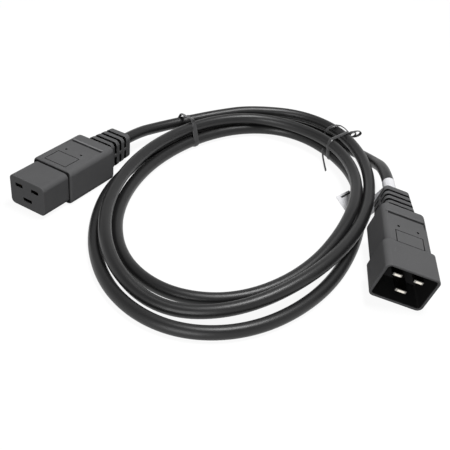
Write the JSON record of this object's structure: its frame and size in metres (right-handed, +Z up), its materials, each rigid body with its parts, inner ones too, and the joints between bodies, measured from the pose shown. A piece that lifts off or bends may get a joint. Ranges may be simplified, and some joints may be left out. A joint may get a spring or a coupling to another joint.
{
  "type": "power connector cord set",
  "caption": "Straight C19 power connector with ribbed strain relief, on a loosely coiled round mains cord that ends in a C20 plug.",
  "frame": {"origin": "on the floor below the middle of the C19 connector's box", "axes": "+Z up, +Y from the C19's face towards its strain relief, +X to the right of someone who stands behind the cord exit's opposite side and looks at the face; the cord and the C20 lie on the +X side"},
  "size_m": [0.2575, 0.2605, 0.033],
  "materials": {
    "rigid_body": "fine matt, dark grey",
    "soft_grip": "fine matt, dark grey",
    "inner_mould": "plain, hidden",
    "contact_brass": "satin",
    "blade_nickel": "satin nickel plate",
    "core_brown": "smooth",
    "core_blue": "smooth",
    "core_green_yellow": "smooth, striped",
    "cord_sheath": "semi gloss black",
    "tie_coating": "satin black",
    "label_film": "smooth white"
  },
  "bodies": {
    "root": {"c19_insert": "rigid_body", "c19_overmould": "soft_grip", "c19_inner_mould": "inner_mould", "c19_contact_line": "contact_brass", "c19_contact_neutral": "contact_brass", "c19_contact_earth": "contact_brass", "c19_core_brown": "core_brown", "c19_core_blue": "core_blue", "c19_core_green_yellow": "core_green_yellow", "c19_sheath_end": "cord_sheath", "cord": "cord_sheath", "c20_insert": "rigid_body", "c20_overmould": "soft_grip", "c20_inner_mould": "inner_mould", "c20_pin_line": "blade_nickel", "c20_pin_neutral": "blade_nickel", "c20_pin_earth": "blade_nickel", "c20_core_brown": "core_brown", "c20_core_blue": "core_blue", "c20_core_green_yellow": "core_green_yellow", "c20_sheath_end": "cord_sheath", "tie_left": "tie_coating", "tie_right": "tie_coating", "label_flag": "label_film"}
  },
  "joints": []
}
